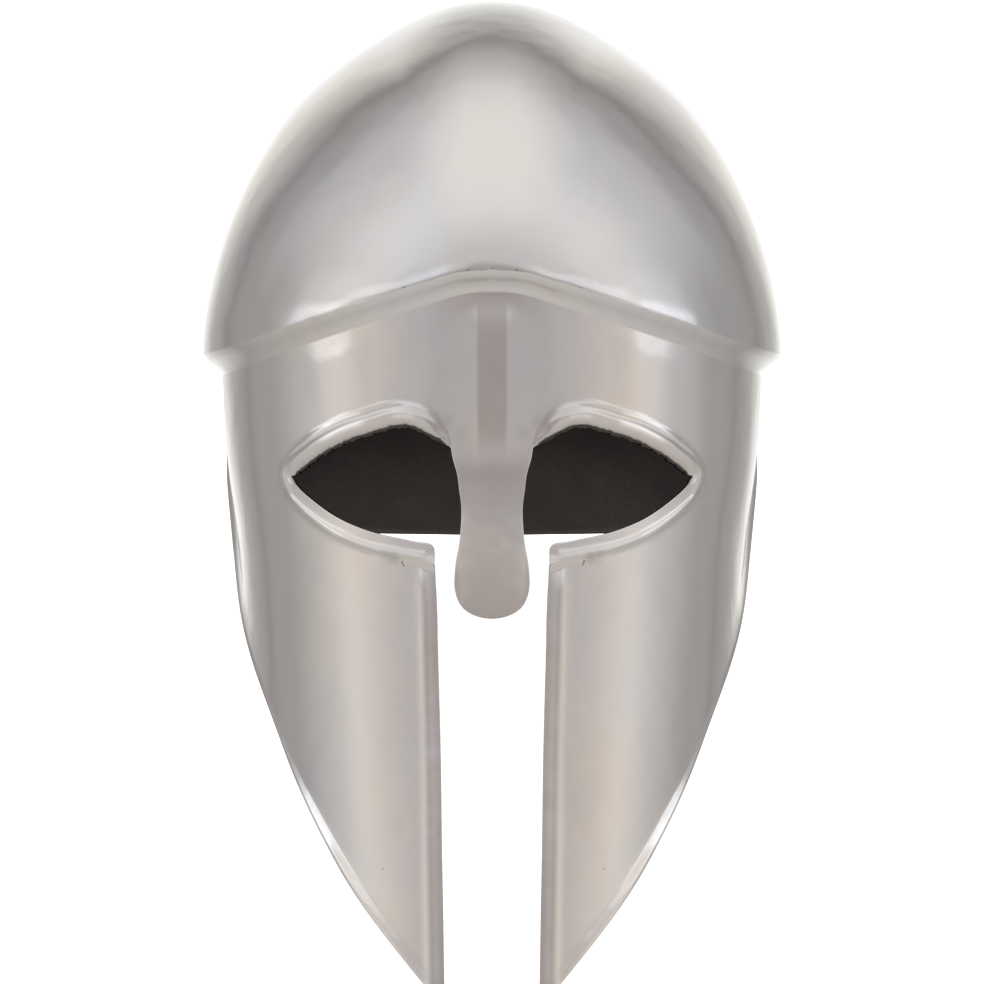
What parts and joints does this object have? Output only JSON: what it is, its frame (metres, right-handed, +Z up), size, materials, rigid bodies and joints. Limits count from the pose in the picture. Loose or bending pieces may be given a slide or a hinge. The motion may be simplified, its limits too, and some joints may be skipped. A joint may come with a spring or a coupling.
{
  "type": "greek helmet",
  "caption": "Closed steel helmet with a tall dome over an overhanging brow edge, rimmed eye openings, a nasal bar, long cheek plates and a flared neck guard.",
  "frame": {"origin": "middle of the helmet's footprint, on the surface that it stands on", "axes": "+Z up from the surface; -Y towards the face, which leans back; +X to the right of someone who looks at the face"},
  "size_m": [0.205, 0.3312, 0.2516],
  "materials": {
    "skull": "satin polished",
    "face_mask": "satin polished",
    "neck_guard": "satin polished, dark inside"
  },
  "bodies": {
    "root": {"skull": "skull", "face_mask": "face_mask", "neck_guard": "neck_guard"}
  },
  "joints": []
}
